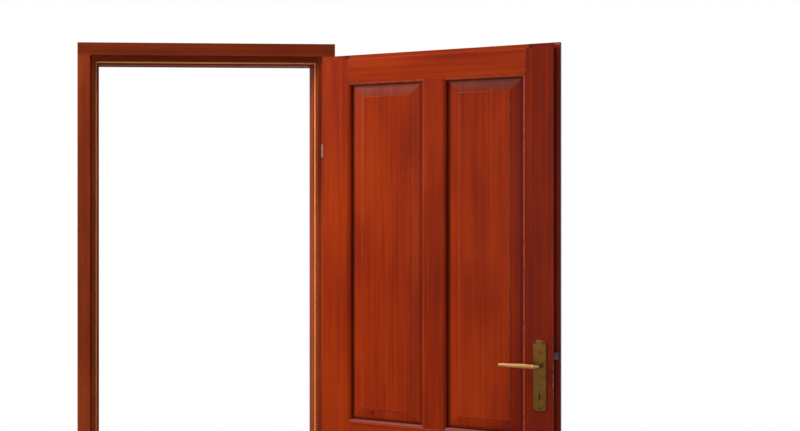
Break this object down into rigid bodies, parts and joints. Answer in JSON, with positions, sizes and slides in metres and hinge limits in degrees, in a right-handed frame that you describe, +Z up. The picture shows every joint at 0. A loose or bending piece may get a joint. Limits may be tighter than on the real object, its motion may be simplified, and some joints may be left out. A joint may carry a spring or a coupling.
{
  "type": "dutch stable door",
  "caption": "Timber dutch stable door in its rebated frame, with an open upper leaf, a shut lower leaf with a ledge, barrel hinges, lever lock and bolts.",
  "frame": {"origin": "middle of the sill's underside, half way through the frame's depth", "axes": "+Z up, +X to the right seen from outside, towards the hinges, +Y into the room"},
  "size_m": [1.4634, 0.5774, 2.05],
  "materials": {
    "frame_timber": "semi-gloss red-brown stain",
    "leaf_timber": "semi-gloss red stain",
    "seal_rubber": "matt",
    "brass": "satin",
    "zinc_steel": "zinc plated"
  },
  "bodies": {
    "frame": {"jamb_hinge_side": "frame_timber", "jamb_lock_side": "frame_timber", "head": "frame_timber", "threshold": "frame_timber", "frame_seal": "seal_rubber", "strike_plate": "zinc_steel", "strike_screws": "zinc_steel", "side_bolt_keeper": "zinc_steel", "keeper_screws": "zinc_steel", "hinge_frame_half_upper_top": "zinc_steel", "hinge_frame_half_upper_bottom": "zinc_steel", "hinge_frame_half_lower_top": "zinc_steel", "hinge_frame_half_lower_bottom": "zinc_steel", "hinge_washer_upper_top": "zinc_steel", "hinge_washer_upper_bottom": "zinc_steel", "hinge_washer_lower_top": "zinc_steel", "hinge_washer_lower_bottom": "zinc_steel"},
    "upper_leaf": {"upper_hinge_stile": "leaf_timber", "upper_lock_stile": "leaf_timber", "upper_top_rail": "leaf_timber", "upper_bottom_rail": "leaf_timber", "upper_muntin": "leaf_timber", "upper_panel_hinge_side": "leaf_timber", "upper_panel_lock_side": "leaf_timber", "lock_case": "zinc_steel", "lock_faceplate": "zinc_steel", "faceplate_screws": "zinc_steel", "backplate_inside": "brass", "backplate_outside": "brass", "backplate_screws_inside": "brass", "backplate_screws_outside": "brass", "joining_bolt_plate": "zinc_steel", "joining_bolt_screws": "zinc_steel", "hinge_leaf_half_upper_top": "zinc_steel", "hinge_leaf_half_upper_bottom": "zinc_steel"},
    "lower_leaf": {"lower_hinge_stile": "leaf_timber", "lower_lock_stile": "leaf_timber", "lower_top_rail": "leaf_timber", "lower_bottom_rail": "leaf_timber", "lower_muntin": "leaf_timber", "lower_panel_hinge_side": "leaf_timber", "lower_panel_lock_side": "leaf_timber", "lower_ledge": "leaf_timber", "ledge_ferrule": "zinc_steel", "side_bolt_plate": "zinc_steel", "side_bolt_screws": "zinc_steel", "hinge_leaf_half_lower_top": "zinc_steel", "hinge_leaf_half_lower_bottom": "zinc_steel"},
    "lever_set": {"lever_inside": "brass", "lever_outside": "brass", "lever_spindle": "zinc_steel", "lock_follower": "zinc_steel"},
    "latch": {"latch_bolt": "zinc_steel"},
    "deadbolt": {"dead_bolt": "zinc_steel"},
    "joining_bolt": {"joining_bolt": "zinc_steel"},
    "side_bolt": {"side_bolt": "zinc_steel"}
  },
  "joints": [
    {"name": "upper_leaf_swing", "type": "hinge", "parent": "frame", "child": "upper_leaf", "pos_m": [0.386, -0.063, 1.35], "axis": [0, 0, 1], "range_deg": [-148.5, 21.5]},
    {"name": "lower_leaf_swing", "type": "hinge", "parent": "frame", "child": "lower_leaf", "pos_m": [0.386, -0.063, 0.35], "axis": [0, 0, 1], "range_deg": [0, 170]},
    {"name": "lever_turn", "type": "hinge", "parent": "upper_leaf", "child": "lever_set", "pos_m": [0.98064, -0.45437, 1.0394], "axis": [-0.5225, -0.8526, 0], "range_deg": [0, 35], "stiffness_Nm_per_rad": 1.2, "springref_deg": -34.38},
    {"name": "latch_slide", "type": "slide", "parent": "upper_leaf", "child": "latch", "axis": [-0.8526, 0.5225, 0], "range_m": [0, 0.011]},
    {"name": "dead_bolt_throw", "type": "slide", "parent": "upper_leaf", "child": "deadbolt", "axis": [0.8526, -0.5225, 0], "range_m": [0, 0.02]},
    {"name": "joining_bolt_drop", "type": "slide", "parent": "upper_leaf", "child": "joining_bolt", "axis": [0, 0, -1], "range_m": [0, 0.018]},
    {"name": "side_bolt_throw", "type": "slide", "parent": "lower_leaf", "child": "side_bolt", "axis": [-1, 0, 0], "range_m": [0, 0.022]}
  ],
  "couplings": [
    {"joint": "latch_slide", "follows": "lever_turn", "m_per_rad": 0.018}
  ]
}
